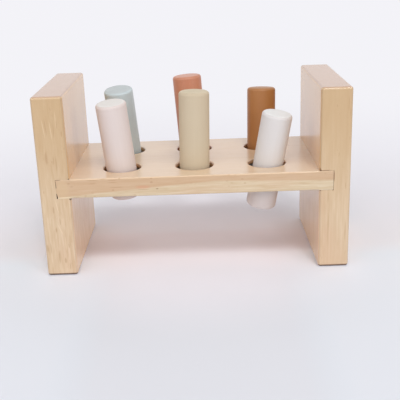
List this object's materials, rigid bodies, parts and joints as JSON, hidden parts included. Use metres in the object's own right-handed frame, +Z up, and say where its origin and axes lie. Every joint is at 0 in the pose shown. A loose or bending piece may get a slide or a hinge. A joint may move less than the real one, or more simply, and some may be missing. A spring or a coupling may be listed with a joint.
{
  "type": "peg pounding bench",
  "caption": "Wooden pounding bench for toddlers: painted round pegs are hammered through a board between two upright end panels, then the bench is turned over.",
  "frame": {"origin": "on the floor, under the middle of the bench's footprint", "axes": "+X along the bench to the viewer's right, +Y to the back, +Z up"},
  "size_m": [0.22, 0.104, 0.132],
  "materials": {
    "beech": "clear satin lacquer",
    "dowel_birch": "bare turned wood",
    "grip_rubber": "matt moulded rubber",
    "pink_paint": "satin paint on turned wood",
    "beige_paint": "satin paint on turned wood",
    "white_paint": "satin paint on turned wood",
    "green_paint": "satin paint on turned wood",
    "terracotta_paint": "satin paint on turned wood",
    "brown_paint": "satin paint on turned wood"
  },
  "bodies": {
    "bench": {"left_end_panel": "beech", "right_end_panel": "beech", "peg_board": "beech", "left_front_dowel": "dowel_birch", "left_back_dowel": "dowel_birch", "right_front_dowel": "dowel_birch", "right_back_dowel": "dowel_birch"},
    "pink_ring": {"pink_peg_ring": "grip_rubber"},
    "pink_peg": {"pink_peg": "pink_paint"},
    "beige_ring": {"beige_peg_ring": "grip_rubber"},
    "beige_peg": {"beige_peg": "beige_paint"},
    "white_ring": {"white_peg_ring": "grip_rubber"},
    "white_peg": {"white_peg": "white_paint"},
    "green_ring": {"green_peg_ring": "grip_rubber"},
    "green_peg": {"green_peg": "green_paint"},
    "terracotta_ring": {"terracotta_peg_ring": "grip_rubber"},
    "terracotta_peg": {"terracotta_peg": "terracotta_paint"},
    "brown_ring": {"brown_peg_ring": "grip_rubber"},
    "brown_peg": {"brown_peg": "brown_paint"}
  },
  "joints": [
    {"name": "pink_peg_rock", "type": "hinge", "parent": "bench", "child": "pink_ring", "pos_m": [-0.0532, -0.0245, 0.066], "axis": [0.766, -0.6428, 0], "range_deg": [-20.5, 5.5]},
    {"name": "pink_peg_slide", "type": "slide", "parent": "pink_ring", "child": "pink_peg", "axis": [-0.0839, -0.1, 0.9914], "range_m": [-0.04988, 0.00812]},
    {"name": "beige_peg_rock", "type": "hinge", "parent": "bench", "child": "beige_ring", "pos_m": [0, -0.0245, 0.066], "axis": [-0.2079, 0.9781, 0], "range_deg": [-14.4, 11.6]},
    {"name": "beige_peg_slide", "type": "slide", "parent": "beige_ring", "child": "beige_peg", "axis": [0.0239, 0.0051, 0.9997], "range_m": [-0.05452, 0.00348]},
    {"name": "white_peg_rock", "type": "hinge", "parent": "bench", "child": "white_ring", "pos_m": [0.0532, -0.0245, 0.066], "axis": [0.454, 0.891, 0], "range_deg": [-24, 2]},
    {"name": "white_peg_slide", "type": "slide", "parent": "white_ring", "child": "white_peg", "axis": [0.17, -0.0866, 0.9816], "range_m": [-0.03828, 0.01972]},
    {"name": "green_peg_rock", "type": "hinge", "parent": "bench", "child": "green_ring", "pos_m": [-0.0532, 0.0245, 0.066], "axis": [0.9272, -0.3746, 0], "range_deg": [-22.5, 3.5]},
    {"name": "green_peg_slide", "type": "slide", "parent": "green_ring", "child": "green_peg", "axis": [-0.0618, -0.153, 0.9863], "range_m": [-0.05162, 0.00638]},
    {"name": "terracotta_peg_rock", "type": "hinge", "parent": "bench", "child": "terracotta_ring", "pos_m": [0, 0.0245, 0.066], "axis": [-0.3907, -0.9205, 0], "range_deg": [-16.9, 9.1]},
    {"name": "terracotta_peg_slide", "type": "slide", "parent": "terracotta_ring", "child": "terracotta_peg", "axis": [-0.0626, 0.0266, 0.9977], "range_m": [-0.058, 0]},
    {"name": "brown_peg_rock", "type": "hinge", "parent": "bench", "child": "brown_ring", "pos_m": [0.0532, 0.0245, 0.066], "axis": [-0.9816, 0.1908, 0], "range_deg": [-18.2, 7.8]},
    {"name": "brown_peg_slide", "type": "slide", "parent": "brown_ring", "child": "brown_peg", "axis": [0.0173, 0.089, 0.9959], "range_m": [-0.04611, 0.01189]}
  ]
}
